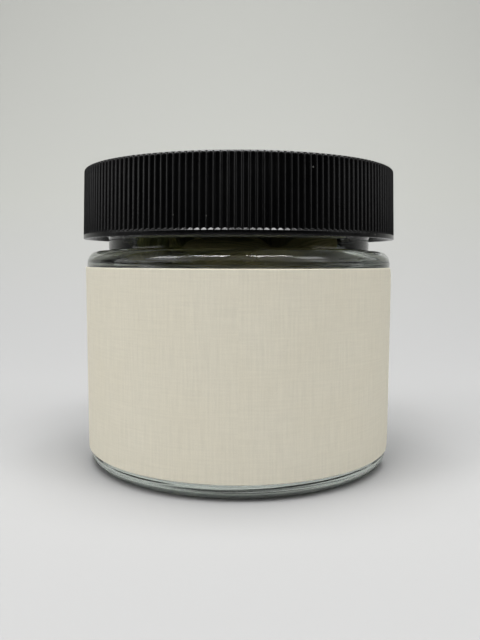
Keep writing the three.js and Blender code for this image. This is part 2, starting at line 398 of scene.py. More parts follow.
def blend(tree, factor, first, second, kind="MIX"):
    """A mix of two colours, each plain or another node's output."""
    made = node(tree, "ShaderNodeMix", data_type="RGBA", blend_type=kind, Factor=factor)
    for socket, colour in ((made.inputs[6], first), (made.inputs[7], second)):
        plain = not isinstance(colour, bpy.types.NodeSocket)
        feed(tree, socket, (*colour, 1) if plain else colour)
    return made.outputs[2]


def shaded(colour, share):
    """A colour made darker or lighter."""
    return [share * part for part in colour]


def group_sockets(group, inputs, outputs):
    """Gives a node group its inputs, each a number or else a vector, and its outputs."""
    for name, value in inputs.items():
        kind = "NodeSocketVector" if value is None else "NodeSocketFloat"
        socket = group.interface.new_socket(name=name, in_out="INPUT", socket_type=kind)
        if value is not None:
            socket.default_value = value
    for name in outputs:
        group.interface.new_socket(name=name, in_out="OUTPUT", socket_type="NodeSocketFloat")
    return group.nodes.new("NodeGroupInput").outputs, group.nodes.new("NodeGroupOutput").inputs


def place_group(tree, group, **values):
    """A node group in a material, with its input values."""
    made = tree.nodes.new("ShaderNodeGroup")
    made.node_tree = group
    for key, value in values.items():
        feed(tree, made.inputs[key.replace("_", " ")], value)
    return made


def handled_group():
    """Smudges and dust that handling leaves: a roughness and a speck mask."""
    found = bpy.data.node_groups.get("handled_surface")
    if found:
        return found
    tree = bpy.data.node_groups.new("handled_surface", "ShaderNodeTree")
    given, result = group_sockets(
        tree,
        {"Vector": None, "Smudge Size": 60.0, "Clean Roughness": 0.2,
         "Smudged Roughness": 0.4, "Speck Size": 900.0, "Speck Share": 0.03},
        ("Roughness", "Specks"),
    )
    smudge = node(tree, "ShaderNodeTexNoise", Vector=given["Vector"],
                  Scale=given["Smudge Size"], Detail=4.0, Roughness=0.6)
    rough = ramp(tree, smudge.outputs["Fac"], 0.35, 0.68, given["Clean Roughness"],
                 given["Smudged Roughness"])
    cells = node(tree, "ShaderNodeTexVoronoi", Vector=given["Vector"],
                 Scale=given["Speck Size"], Randomness=1.0)
    pick = node(tree, "ShaderNodeSeparateColor", Color=cells.outputs["Color"])
    chosen = calc(tree, "LESS_THAN", pick.outputs["Red"], given["Speck Share"])
    near = ramp(tree, cells.outputs["Distance"], 0.10, 0.26, 1.0, 0.0)
    tree.links.new(rough, result["Roughness"])
    tree.links.new(calc(tree, "MULTIPLY", chosen, near), result["Specks"])
    return tree


def grain_group():
    """Fine relief of a surface, as a height: streaks one way, mixed with a finer noise."""
    found = bpy.data.node_groups.get("surface_grain")
    if found:
        return found
    tree = bpy.data.node_groups.new("surface_grain", "ShaderNodeTree")
    given, result = group_sockets(
        tree,
        {"Vector": None, "Stretch": None, "Streak Size": 300.0, "Streak Detail": 3.0,
         "Grain Size": 900.0, "Grain Share": 0.5},
        ("Height", "Streaks"),
    )
    stretched = node(tree, "ShaderNodeVectorMath", operation="MULTIPLY", _0=given["Vector"],
                     _1=given["Stretch"])
    streaks = node(tree, "ShaderNodeTexNoise", Vector=stretched.outputs[0],
                   Scale=given["Streak Size"], Detail=given["Streak Detail"],
                   Roughness=0.55).outputs["Fac"]
    grain = node(tree, "ShaderNodeTexNoise", Vector=given["Vector"],
                 Scale=given["Grain Size"], Detail=2.0, Roughness=0.5).outputs["Fac"]
    tree.links.new(mix(tree, given["Grain Share"], streaks, grain), result["Height"])
    tree.links.new(streaks, result["Streaks"])
    return tree


def object_place(tree):
    """Coordinates in metres in the piece's own frame."""
    return node(tree, "ShaderNodeTexCoord").outputs["Object"]


def round_place(tree, radius):
    """Coordinates unrolled round the axis: metres along the wall and up it."""
    x, y, z = node(tree, "ShaderNodeSeparateXYZ", Vector=object_place(tree)).outputs
    along = calc(tree, "MULTIPLY", calc(tree, "ARCTAN2", x, y), radius)
    return node(tree, "ShaderNodeCombineXYZ", X=along, Z=z).outputs[0]


def bump(tree, shader, height, distance):
    """Feeds a height to a shader's normal."""
    relief = node(tree, "ShaderNodeBump", Height=height, Distance=distance, Strength=1.0)
    tree.links.new(relief.outputs["Normal"], shader.inputs["Normal"])


# Materials


def pressed_glass(settings):
    """Clear pressed glass, faintly green, rippled in the shoulder, dusty inside, scuffed below."""
    material, tree, shader, output = new_material("pressed_glass")
    place = object_place(tree)
    handled = place_group(tree, handled_group(), Vector=place, Smudge_Size=90.0,
                          Clean_Roughness=0.0, Smudged_Roughness=0.02, Speck_Size=500.0,
                          Speck_Share=0.004)
    grain = place_group(tree, grain_group(), Vector=place, Stretch=(0.02, 0.02, 1.0),
                        Streak_Size=2600.0, Streak_Detail=0.4, Grain_Size=110.0,
                        Grain_Share=0.0)
    streaks = grain.outputs["Streaks"]
    x, y, height = node(tree, "ShaderNodeSeparateXYZ", Vector=place).outputs
    level = node(tree, "ShaderNodeCombineXYZ", X=x, Y=y)
    radius = node(tree, "ShaderNodeVectorMath", operation="LENGTH",
                  _0=level.outputs[0]).outputs["Value"]

    # Dust in level streaks, on the inside of the shoulder
    inner = ramp(tree, radius, INSIDE_RADIUS + 0.02 * MM, INSIDE_RADIUS + 0.1 * MM, 1.0, 0.0)
    upper = ramp(tree, height, SHOULDER_Z - 7 * MM, SHOULDER_Z - 4 * MM)
    under_neck = ramp(tree, height, SHOULDER_Z - 1.4 * MM, SHOULDER_Z - 0.9 * MM, 1.0, 0.0)
    zone = calc(tree, "MULTIPLY", upper, under_neck)
    dust = calc(tree, "MULTIPLY", zone, ramp(tree, streaks, 0.42, 0.58, 0.3, 1.0))
    film = calc(tree, "MULTIPLY", inner, dust)
    filmed = calc(tree, "MULTIPLY_ADD", film, settings.haze, handled.outputs["Roughness"])
    lined = calc(tree, "MULTIPLY", ramp(tree, streaks, 0.42, 0.56), zone)
    colour = blend(tree, lined, settings.tint, shaded(settings.tint, 0.86))
    tree.links.new(colour, shader.inputs["Base Color"])

    # The scuffed foot, and the stippled ring that it stands on
    stippled = ramp(tree, height, 0.9 * MM, 1.5 * MM, 0.9, 0.0)
    scuffed = ramp(tree, height, 1.9 * MM, 2.5 * MM, 0.18, 0.0)
    outer = ramp(tree, radius, BEARING_RING[0] - 0.6 * MM, BEARING_RING[0] - 0.1 * MM)
    worn = calc(tree, "MULTIPLY", calc(tree, "MAXIMUM", stippled, scuffed), outer)
    tree.links.new(calc(tree, "MAXIMUM", filmed, worn), shader.inputs["Roughness"])

    # Ripples below the shoulder's outer round, and faint ones at the foot
    heel = ramp(tree, height, 2.6 * MM, 3.4 * MM, 0.25, 0.0)
    calm = ramp(tree, height, SHOULDER_Z - 1.9 * MM, SHOULDER_Z - 1.2 * MM, 1.0, 0.0)
    waved = calc(tree, "MAXIMUM", calc(tree, "MULTIPLY", upper, calm), heel)
    centred = calc(tree, "SUBTRACT", grain.outputs["Height"], 0.5)
    bump(tree, shader, calc(tree, "MULTIPLY", waved, centred), settings.ripple)

    shader.inputs["Transmission Weight"].default_value = 1.0
    shader.inputs["IOR"].default_value = 1.52
    body = node(tree, "ShaderNodeVolumeAbsorption", Color=(*settings.depth_tint, 1),
                Density=settings.depth)
    tree.links.new(body.outputs[0], output.inputs["Volume"])

    # Clear to shadow rays, so that light reaches the pods
    path = node(tree, "ShaderNodeLightPath")
    clear = node(tree, "ShaderNodeBsdfTransparent", Color=(0.94, 0.96, 0.95, 1))
    lit = node(tree, "ShaderNodeMixShader", _0=path.outputs["Is Shadow Ray"],
               _1=shader.outputs["BSDF"], _2=clear.outputs[0])
    tree.links.new(lit.outputs[0], output.inputs["Surface"])
    return material


def moulded_plastic(settings):
    """Black moulded plastic, satin, with moulding grain, smudges and a few specks of dust."""
    material, tree, shader, _ = new_material("moulded_black_plastic")
    place = object_place(tree)
    handled = place_group(tree, handled_group(), Vector=place, Smudge_Size=70.0,
                          Clean_Roughness=0.15, Smudged_Roughness=0.27, Speck_Size=1500.0,
                          Speck_Share=0.012)
    grain = place_group(tree, grain_group(), Vector=place, Stretch=(1.0, 1.0, 0.12),
                        Streak_Size=900.0, Grain_Size=2600.0, Grain_Share=0.55)
    colour = blend(tree, handled.outputs["Specks"], settings.plastic, (0.16, 0.16, 0.15))
    tree.links.new(colour, shader.inputs["Base Color"])
    tree.links.new(handled.outputs["Roughness"], shader.inputs["Roughness"])
    shader.inputs["IOR"].default_value = 1.48
    bump(tree, shader, grain.outputs["Height"], 0.03 * MM)
    return material


def foamed_liner(settings):
    """Off-white foamed sheet with fine cells and a few smudges."""
    material, tree, shader, _ = new_material("foamed_liner")
    place = object_place(tree)
    handled = place_group(tree, handled_group(), Vector=place, Smudge_Size=120.0,
                          Clean_Roughness=0.55, Smudged_Roughness=0.75, Speck_Size=900.0,
                          Speck_Share=0.02)
    cells = node(tree, "ShaderNodeTexVoronoi", Vector=place, Scale=2600.0).outputs["Distance"]
    colour = blend(tree, cells, settings.foam, shaded(settings.foam, 0.86))
    tree.links.new(colour, shader.inputs["Base Color"])
    tree.links.new(handled.outputs["Roughness"], shader.inputs["Roughness"])
    bump(tree, shader, cells, 0.04 * MM)
    return material


def laid_paper(settings, radius):
    """Cream paper with a fine upright and level weave, matt, a little mottled."""
    material, tree, shader, _ = new_material("laid_paper")
    place = round_place(tree, radius)
    upright = place_group(tree, grain_group(), Vector=place, Stretch=(1.0, 1.0, 0.05),
                          Streak_Size=3200.0, Grain_Size=5200.0, Grain_Share=0.35)
    level = place_group(tree, grain_group(), Vector=place, Stretch=(0.05, 1.0, 1.0),
                        Streak_Size=3200.0, Grain_Size=900.0, Grain_Share=0.25)
    weave = mix(tree, 0.38, upright.outputs["Height"], level.outputs["Height"])
    mottle = node(tree, "ShaderNodeTexNoise", Vector=place, Scale=95.0, Detail=3.0)
    woven = blend(tree, ramp(tree, weave, 0.34, 0.66), shaded(settings.paper, 0.93),
                  shaded(settings.paper, 1.06))
    colour = blend(tree, mottle.outputs["Fac"], woven, (1.0, 0.985, 0.955), kind="MULTIPLY")
    tree.links.new(colour, shader.inputs["Base Color"])
    tree.links.new(ramp(tree, weave, 0.0, 1.0, 0.72, 0.92), shader.inputs["Roughness"])
    shader.inputs["IOR"].default_value = 1.42
    bump(tree, shader, weave, 0.03 * MM)
    return material


def dry_husk(settings):
    """Papery husk: green to straw from pod to pod and end to end, with streaks along it, and
    painted shade in its seams, rib grooves and wrinkle hollows.
    """
    material, tree, shader, _ = new_material("dry_husk")
    shade = node(tree, "ShaderNodeAttribute", attribute_name="husk_fade_and_painted_shade")
    parts = node(tree, "ShaderNodeSeparateColor", Color=shade.outputs["Color"])
    grain = place_group(tree, grain_group(), Vector=object_place(tree),
                        Stretch=(1.0, 1.0, 1.0), Streak_Size=420.0, Grain_Size=1500.0,
                        Grain_Share=0.5)
    fade = calc(tree, "MULTIPLY_ADD", grain.outputs["Streaks"], 0.5, parts.outputs["Red"])
    husk = blend(tree, ramp(tree, fade, 0.3, 1.2), settings.green, settings.straw)
    # Painted shade: the second share darkens the green in seams, rib grooves and wrinkle hollows
    colour = blend(tree, parts.outputs["Green"], husk, shaded(settings.green, 0.45))
    tree.links.new(colour, shader.inputs["Base Color"])
    rough = ramp(tree, grain.outputs["Height"], 0.0, 1.0, 0.52, 0.82)
    tree.links.new(rough, shader.inputs["Roughness"])
    bump(tree, shader, grain.outputs["Height"], 0.09 * MM)
    return material


def plain_stage(settings):
    """Matt pale paper, a little warmer where it rises behind the jar."""
    material, tree, shader, _ = new_material("pale_backdrop")
    parts = node(tree, "ShaderNodeSeparateXYZ", Vector=object_place(tree))
    rise = ramp(tree, parts.outputs["Z"], 0.0, 0.08)
    colour = blend(tree, rise, settings.floor, settings.backdrop)
    tree.links.new(colour, shader.inputs["Base Color"])
    shader.inputs["Roughness"].default_value = 0.9
    shader.inputs["Specular IOR Level"].default_value = 0.2
    return material


# Shapes


def jar_profile():
    """The glass section from the middle of the base, up the outside and down the inside."""
    body, rim = JAR_HIGH.x, JAR_HIGH.z
    ring_in, ring_out = BEARING_RING
    foot = (body - FOOT_RADIUS, FOOT_RADIUS)
    shoulder = (body - SHOULDER_RADIUS, SHOULDER_Z - SHOULDER_RADIUS)
    lip, fillet, inmost = 0.8 * MM, 0.28 * MM, 4 * MM
    push_up_edge, push_up_bend = body - 6 * MM, 1.2 * MM
    finish_z = NECK_TOP_Z + 0.9 * MM
    floor_edge = (INSIDE_RADIUS - FLOOR_CORNER, FLOOR_Z + FLOOR_CORNER)
    points = [(r, PUSH_UP) for r in np.linspace(inmost, push_up_edge, 7)]
    points += arc((push_up_edge, PUSH_UP + push_up_bend), push_up_bend, -90, -62, 2)[1:]
    points += straight(points[-1], (ring_in, 0.0), 3)
    points += [(ring_in, 0.0), ((ring_in + ring_out) / 2, 0.0), (ring_out, 0.0)]
    points += arc(foot, FOOT_RADIUS, -90, 0, 10)[1:]
    points += straight(points[-1], (body, shoulder[1]), 22)
    points += arc(shoulder, SHOULDER_RADIUS, 0, 90, 10)
    points += straight(points[-1], (NECK_RADIUS + fillet, SHOULDER_Z), 3)
    points += arc((NECK_RADIUS + fillet, SHOULDER_Z + fillet), fillet, 270, 180, 5)
    points += straight(points[-1], (NECK_RADIUS, NECK_TOP_Z), 4)
    points += [(NECK_RADIUS, NECK_TOP_Z)]
    points += straight(points[-1], (FINISH_RADIUS, finish_z), 3)
    points += [(FINISH_RADIUS, finish_z)]
    points += straight(points[-1], (FINISH_RADIUS, rim - lip), 34)
    points += arc((FINISH_RADIUS - lip, rim - lip), lip, 0, 90, 6)
    points += straight(points[-1], (NECK_BORE_RADIUS + lip, rim), 2)
    points += arc((NECK_BORE_RADIUS + lip, rim - lip), lip, 90, 180, 6)
    points += straight(points[-1], (NECK_BORE_RADIUS, BORE_END_Z), 8)
    points += inner_shoulder()
    points += straight(points[-1], (INSIDE_RADIUS, floor_edge[1]), 16)
    points += arc(floor_edge, FLOOR_CORNER, 0, -90, 10)
    points += [(r, FLOOR_Z) for r in np.linspace(floor_edge[0], inmost, 6)[1:]]
    return points


def inner_shoulder():
    """The smooth S from the neck's bore out to the body's wall."""
    top, bottom = BORE_END_Z, SHOULDER_Z - 4.6 * MM
    shares = np.linspace(0, 1, 13)
    eased = shares * shares * (3 - 2 * shares)
    return [
        (NECK_BORE_RADIUS + (INSIDE_RADIUS - NECK_BORE_RADIUS) * e, top + (bottom - top) * s)
        for s, e in zip(shares, eased)
    ]


def build_jar(sides):
    """The glass jar as one closed skin, with its thread."""
    skin = Skin()
    angles = np.arange(sides) / sides * TURN
    outside = True
    bottom = skin.tip((0, 0, PUSH_UP))
    last = None
    for radius, height in jar_profile():
        if radius < FINISH_RADIUS - 0.5 * MM and height > NECK_TOP_Z + 1 * MM:
            outside = False
        on_finish = outside and height > NECK_TOP_Z and radius > FINISH_RADIUS - 0.01 * MM
        rise = thread_rise(GLASS_THREAD, angles, height) if on_finish else 0
        ring = skin.ring(ring_points(radius + rise, height, angles))
        if last is None:
            skin.fan(bottom, ring, upward=False)
        else:
            skin.join(last, ring)
        last = ring
    skin.fan(skin.tip((0, 0, FLOOR_Z)), last, upward=True)
    return make_mesh("glass_jar", skin.points, skin.faces)


def flute(angles, rib_count):
    """Depth of the round flutes between ribs, 0 on a rib's crest to 1 in a flute."""
    aside = np.abs((angles * rib_count / TURN) % 1 - 0.5) * 2
    return 1 - aside ** FLUTE_SHARPNESS


def lid_outer_rows(settings):
    """(radius, height, share of the flutes, deepest flute) from the flat top to the underside."""
    top, bottom, widest = LID_HIGH.z, LID_LOW.z, LID_HIGH.x
    draft, edge, lower = 0.03, 0.5 * MM, 0.12 * MM
    deep = settings.rib_depth
    ledge = deep / math.tan(math.radians(LEDGE_DEGREES))

    def wall(z):
        return widest - draft * (z - bottom)

    rows = []
    for radius, height in arc((wall(top - edge) - edge, top - edge), edge, 90, 0, 8):
        share = min(1, (top - height) / edge)
        rows.append((radius, height, share ** 0.4, deep))
    rib_end = bottom + settings.band_height
    for height in np.linspace(top - edge, rib_end + 1.2 * ledge, 8)[1:]:
        rows.append((wall(height), height, 1.0, deep))
    for share in (1.0, 0.9, 0.8, 0.65, 0.5, 0.35, 0.2, 0.08, 0.0):
        height = rib_end + ledge * share
        rows.append((wall(height), height, 1.0, deep * share))
    rows.append((wall(rib_end), rib_end - 0.05 * MM, 0.0, 0.0))
    rows += [(r, z, 0.0, 0.0)
             for r, z in arc((widest - lower, bottom + lower), lower, 0, -90, 5)]
    return rows


def lid_inner_rows():
    """(radius, height) from the underside up the well to the ceiling."""
    bottom = LID_LOW.z
    wall, mouth, ceiling = LID_WALL_RADIUS, LID_MOUTH_RADIUS, LID_CEILING_Z
    edge, corner = 0.2 * MM, 0.5 * MM
    rows = arc((mouth + edge, bottom + edge), edge, 270, 180, 3)
    rows += straight(rows[-1], (wall, bottom + corner), 2)
    rows += [(wall, bottom + corner)]
    rows += straight(rows[-1], (wall, ceiling - corner), 40)
    rows += arc((wall - corner, ceiling - corner), corner, 0, 90, 4)
    return rows


def build_lid(settings):
    """The lid as one closed skin: fluted outside, threaded inside."""
    per_rib = 12
    skin = Skin()
    fine = np.arange(settings.rib_count * per_rib) / (settings.rib_count * per_rib) * TURN
    coarse = fine[::per_rib]
    top_rings = (5 * MM, 12 * MM, 19 * MM, 25 * MM)
    depth = flute(fine, settings.rib_count) * settings.rib_depth
    top = LID_HIGH.z
    rows = lid_outer_rows(settings)
    middle = skin.tip((0, 0, top))
    last = None
    for radius in top_rings:
        ring = skin.ring(ring_points(radius, top, coarse))
        if last is None:
            skin.fan(middle, ring, upward=True)
        else:
            skin.join(ring, last)
        last = ring
    for index, (radius, height, share, deepest) in enumerate(rows):
        groove = np.minimum(depth * share, deepest)
        ring = skin.ring(ring_points(radius - groove, height, fine))
        if index == 0:
            skin.gather(ring, last, upward=True)
        else:
            skin.join(ring, last)
        last = ring
    for index, (radius, height) in enumerate(lid_inner_rows()):
        rise = thread_rise(LID_THREAD, coarse, height)
        ring = skin.ring(ring_points(radius - rise, height, coarse))
        if index == 0:
            skin.gather(last, ring, upward=False)
        else:
            skin.join(ring, last)
        last = ring
    skin.fan(skin.tip((0, 0, LID_CEILING_Z)), last, upward=False)
    return make_mesh("ribbed_lid", skin.points, skin.faces)


def build_liner():
    """The liner disc, with soft edges and the ring that the rim has pressed into it."""
    low, high, radius = LINER_LOW.z, LINER_HIGH.z, LINER_HIGH.x
    soft, pressed = 0.22 * MM, 0.05 * MM
    skin = Skin()
    angles = np.arange(LINER_SIDES) / LINER_SIDES * TURN
    rim_in, rim_out = NECK_BORE_RADIUS, 25.0 * MM
    inmost = [4 * MM, 12 * MM, 20 * MM]
    profile = [(r, low) for r in inmost]
    profile += [(rim_in, low), (rim_in + 0.6 * MM, low + pressed)]
    profile += [(rim_out - 0.8 * MM, low + pressed), (rim_out, low)]
    profile += arc((radius - soft, low + soft), soft, -90, 0, 4)
    profile += arc((radius - soft, high - soft), soft, 0, 90, 4)
    profile += [(r, high) for r in reversed(inmost)]
    last = None
    bottom = skin.tip((0, 0, low))
    for radius_here, height in profile:
        ring = skin.ring(ring_points(radius_here, height, angles))
        if last is None:
            skin.fan(bottom, ring, upward=False)
        else:
            skin.join(last, ring)
        last = ring
    skin.fan(skin.tip((0, 0, high)), last, upward=True)
    return make_mesh("liner_disc", skin.points, skin.faces)


def label_outline(settings, radius):
    """Columns across the label: angle from its middle, and how much the corners trim it."""
    reach = settings.width / radius / 2
    turned_in = settings.corner / radius
    columns = [(angle, 0.0) for angle in np.linspace(-reach + turned_in, reach - turned_in, 97)]
    steps = 8
    ends = []
    for step in range(1, steps + 1):
        bend = step / steps * math.pi / 2
        ends.append((reach - turned_in + turned_in * math.sin(bend),
                     settings.corner * (1 - math.cos(bend))))
    return [(-angle, trim) for angle, trim in reversed(ends)] + columns + ends


def build_label(settings):
    """The label: a sheet with a front, a back and softly cut edges, bent to the wall."""
    inner, thickness = LABEL_INNER_RADIUS, LABEL_THICKNESS
    soften = 0.06 * MM
    low, high = LABEL_LOW.z, LABEL_HIGH.z
    columns = label_outline(settings, inner + thickness / 2)
    rows = 26
    loop = []
    points = []
    for angle, trim in columns:
        turned = settings.facing + angle
        bottom, top = low + trim, high - trim
        heights = np.linspace(bottom + soften, top - soften, rows)
        heights = np.sort(np.append(heights, (bottom + 2 * soften, top - 4 * soften)))
        section = [(inner + thickness, z) for z in heights]
        section += [(inner + thickness - soften, top)]
        section += [(inner, top)]
        section += [(inner, z) for z in np.linspace(top, bottom, 5)[1:-1]]
        section += [(inner, bottom), (inner + thickness - soften, bottom)]
        loop.append(len(points))
        points += [(r * math.sin(turned), -r * math.cos(turned), z) for r, z in section]
    count = len(points) // len(columns)
    faces = []
    for a, b in zip(loop, loop[1:]):
        for i in range(count):
            j = (i + 1) % count
            faces.append((a + i, b + i, b + j, a + j))
    faces.append([loop[0] + i for i in range(count)])
    faces.append([loop[-1] + i for i in reversed(range(count))])
    return make_mesh("paper_label", points, faces)


# Pods


def fullness(along):
    """Width of a pod along its length, from stalk at 0 to beak at 1, as a share of its widest."""
    return np.sin(np.pi * np.power(along, 0.86)) ** 0.62


def lie_of(node_name):
    """Where a pod lies: its matrix, length and width, found from its solid's own points."""
    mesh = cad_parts[node_name].data
    flat = np.zeros(len(mesh.vertices) * 3)
    mesh.vertices.foreach_get("co", flat)
    points = np.unique(np.round(flat.reshape(-1, 3), 7), axis=0)
    apart = np.linalg.norm(points[:, None] - points[None], axis=2)
    first, second = np.unravel_index(np.argmax(apart), apart.shape)
    length = apart[first, second]
    axis = (points[second] - points[first]) / length
    shares = (points - points[first]) @ axis / length
    inner = shares[(shares > 0.01) & (shares < 0.99)]
    if inner.min() > 1 - inner.max():
        first, second = second, first
        axis = -axis
        shares = 1 - shares
    centre = (points[first] + points[second]) / 2
    off = points - points[first] - np.outer((points - points[first]) @ axis, axis)
    reach = np.linalg.norm(off, axis=1)
    ridge = np.argmax(np.where(np.abs(shares - POD_MIDDLE) < 0.03, reach, 0))
    width = 2 * reach[ridge] / fullness(POD_MIDDLE)
    across = off[ridge] / reach[ridge]
    aside = np.cross(axis, across)
    lie = Matrix((
        (across[0], aside[0], axis[0], centre[0]),
        (across[1], aside[1], axis[1], centre[1]),
        (across[2], aside[2], axis[2], centre[2]),
        (0, 0, 0, 1),
    ))
    return lie, length, width


def build_pod(name, lie, length, width, settings, draw):
    """One pod: three rounded valves with seams between them, ribs, wrinkles, beak and stalk, with
    painted shade in its creases.
    """
    sides, rings = settings.sides, settings.rings
    angles = np.arange(sides) / sides * TURN
    stalk, beak = 0.022, 0.035
    stub, thinnest, full = 0.62 * MM, 0.42 * MM, 1.6 * MM
    seam_width, seam_depth, wrinkle_depth = 0.42, 0.12 * MM, 0.30 * MM
    alongs = 0.5 - 0.5 * np.cos(np.linspace(0.10, 0.93, rings) * np.pi)
    alongs = (alongs - alongs[0]) / (alongs[-1] - alongs[0])
    alongs = stalk + alongs * (1 - beak - stalk)
    rib_count = draw.choice((24, 27, 30))
    phase = draw.uniform(0, TURN)
    shift = Vector([draw.uniform(-9, 9) for _ in range(3)])
    dryness = draw.uniform(0.25, 1.0)
    skin = Skin()
    fade_and_painted_shades = []
    start = skin.tip((0, 0, -length / 2 + 0.05 * MM))
    fade_and_painted_shades.append((0.9, 0.5))
    last = skin.ring(ring_points(stub, -length / 2 + 0.02 * MM, angles))
    fade_and_painted_shades += [(0.95, 0.3)] * sides
    skin.fan(start, last, upward=False)
    pale = draw.uniform(-0.1, 0.85)
    for along in alongs:
        plump = fullness(along) * width / 2
        valves = 1 - settings.lobe * (1 - np.cos(3 * angles))
        seam = np.clip(1 - np.abs(np.angle(np.exp(3j * (angles - math.pi / 3)))) / seam_width,
                       0, 1)
        ribs = np.cos(rib_count * angles + 0.6 * np.sin(5 * along + phase))
        amount = min(1.0, plump / full)
        radii = plump * valves - seam * seam_depth * amount
        radii += (ribs - 1) * 0.5 * settings.rib_height * amount
        z = (along - 0.5) * length
        wrinkles = []
        for angle, radius in zip(angles, radii):
            spot = Vector((radius * math.cos(angle), radius * math.sin(angle), z * 0.45))
            wrinkles.append(noise.noise(spot * 520 + shift))
        wrinkles = np.array(wrinkles)
        radii += (wrinkles - 0.45) * dryness * wrinkle_depth * amount
        radii = np.maximum(radii, thinnest)
        ring = skin.ring(ring_points(radii, z, angles))
        skin.join(last, ring)
        last = ring
        ends = abs(along - 0.48) * 1.1
        # Colour shares for each point: a fade toward straw, a little paler on rib crests and
        # wrinkle tops, and painted shade that darkens the seams, rib grooves and wrinkle hollows
        for rib, cleft, wrinkle in zip(ribs, seam, wrinkles):
            faded = pale + ends * 0.5 + 0.10 * rib + 0.15 * wrinkle
            dark = max(cleft * 0.5, 0.35 - 0.35 * rib, -0.8 * wrinkle)
            fade_and_painted_shades.append((faded, min(1.0, max(0.0, dark))))
    tip = skin.tip((0, 0, length / 2 - 0.02 * MM))
    fade_and_painted_shades.append((1.1, 0.4))
    skin.fan(tip, last, upward=True)
    points = [lie @ Vector(p) for p in skin.points]
    pod = make_mesh(name, points, skin.faces)
    layer = pod.data.color_attributes.new("husk_fade_and_painted_shade", "FLOAT_COLOR", "POINT")
    flat = np.array([(a, b, 0.0, 1.0) for a, b in fade_and_painted_shades], np.float32).ravel()
    layer.data.foreach_set("color", flat)
    return pod


# Operators


class BuildJar(bpy.types.Operator):
    """Builds the glass jar with its foot, shoulder, neck and thread"""

    bl_idname = "cardamom.build_jar"
    bl_label = "Build glass jar"

    def execute(self, context):
        settings = context.scene.cardamom_jar
        jar = build_jar(settings.sides)
        jar.data.materials.append(pressed_glass(settings))
        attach(jar, "jar")
        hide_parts("jar")
        return {"FINISHED"}


class BuildLid(bpy.types.Operator):
    """Builds the ribbed black screw lid"""

    bl_idname = "cardamom.build_lid"
    bl_label = "Build ribbed lid"

    def execute(self, context):
        settings = context.scene.cardamom_lid
        lid = build_lid(settings)
        lid.data.materials.append(moulded_plastic(settings))
        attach(lid, "lid")
        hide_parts("lid")
        return {"FINISHED"}


class BuildLiner(bpy.types.Operator):
    """Builds the liner disc inside the lid"""

    bl_idname = "cardamom.build_liner"
    bl_label = "Build liner"

    def execute(self, context):
        liner = build_liner()
        liner.data.materials.append(foamed_liner(context.scene.cardamom_lid))
        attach(liner, "liner")
        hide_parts("liner")
        return {"FINISHED"}


class BuildLabel(bpy.types.Operator):
    """Builds the paper label round the front of the jar"""

    bl_idname = "cardamom.build_label"
    bl_label = "Build paper label"

    def execute(self, context):
        settings = context.scene.cardamom_label
        label = build_label(settings)
        label.data.materials.append(laid_paper(settings, JAR_HIGH.x))
        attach(label, "jar")
        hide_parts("label")
        return {"FINISHED"}


class BuildPods(bpy.types.Operator):
    """Builds a detailed pod where each poured pod lies"""

    bl_idname = "cardamom.build_pods"
    bl_label = "Build pods"

    def execute(self, context):
        settings = context.scene.cardamom_pods
        draw = random.Random(settings.seed)
        husk = dry_husk(settings)
        for node_name in POD_NODES:
            lie, length, width = lie_of(node_name)
            name = node_name.replace("pod_", "cardamom_")
            pod = build_pod(name, lie, length, width, settings, draw)
            pod.data.materials.append(husk)
            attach(pod, "jar")
            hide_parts(node_name)
        return {"FINISHED"}


class BuildStage(bpy.types.Operator):
    """Sets the pale floor and backdrop, the soft lights and the camera"""

    bl_idname = "cardamom.build_stage"
    bl_label = "Build stage"

    def execute(self, context):
        settings = context.scene.cardamom_stage
        add_floor(settings)
        add_lights(settings)
        add_world(settings)
        add_camera()
        context.scene.view_settings.view_transform = "Standard"
        context.scene.view_settings.look = "Medium High Contrast"
        return {"FINISHED"}


def add_floor(settings):
    """A pale floor that sweeps up behind the jar without a line."""
    front, turn_at, bend, top, half = -1.6, 0.10, 0.42, 2.2, 2.4
    section = [(front, 0.0), (front / 2, 0.0), (-0.2, 0.0), (0.0, 0.0)]
    for angle in np.radians(np.linspace(0, 90, 33)):
        section.append((turn_at + bend * math.sin(angle), bend * (1 - math.cos(angle))))
    section.append((turn_at + bend, top))
    points = [(x, y, z) for y, z in section for x in (-half, half)]
    faces = [(2 * i, 2 * i + 1, 2 * i + 3, 2 * i + 2) for i in range(len(section) - 1)]
    floor = make_mesh("pale_floor", points, faces)
    floor.data.materials.append(plain_stage(settings))


def add_area(name, place, target, size, watts):
    """A soft rectangular light that looks at a point."""
    lamp = bpy.data.lights.new(name, "AREA")
    lamp.shape = "RECTANGLE"
    lamp.size, lamp.size_y = size
    lamp.energy = watts
    holder = bpy.data.objects.new(name, lamp)
    holder.location = place
    look = Vector(target) - Vector(place)
    holder.rotation_euler = look.to_track_quat("-Z", "Y").to_euler()
    bpy.context.scene.collection.objects.link(holder)


def add_lights(settings):
    """Two soft lights above the camera, a wide one over the jar and one high at each side."""
    middle, backdrop = (0, 0, 0.025), (0, 0.22, 0.10)
    strip, square, wide = (0.16, 0.11), (0.2, 0.2), (0.5, 0.3)
    strips, sides = settings.strip_watts, settings.side_watts
    add_area("left_strip", (-0.105, -0.13, 0.42), middle, strip, strips * 1.1)
    add_area("right_strip", (0.105, -0.13, 0.42), middle, strip, strips)
    add_area("overhead_softbox", (0.0, 0.05, 0.90), backdrop, wide, settings.overhead_watts)
    add_area("left_softbox", (-0.42, -0.20, 0.47), middle, square, sides)
    add_area("right_softbox", (0.42, -0.20, 0.47), middle, square, sides * 0.6)


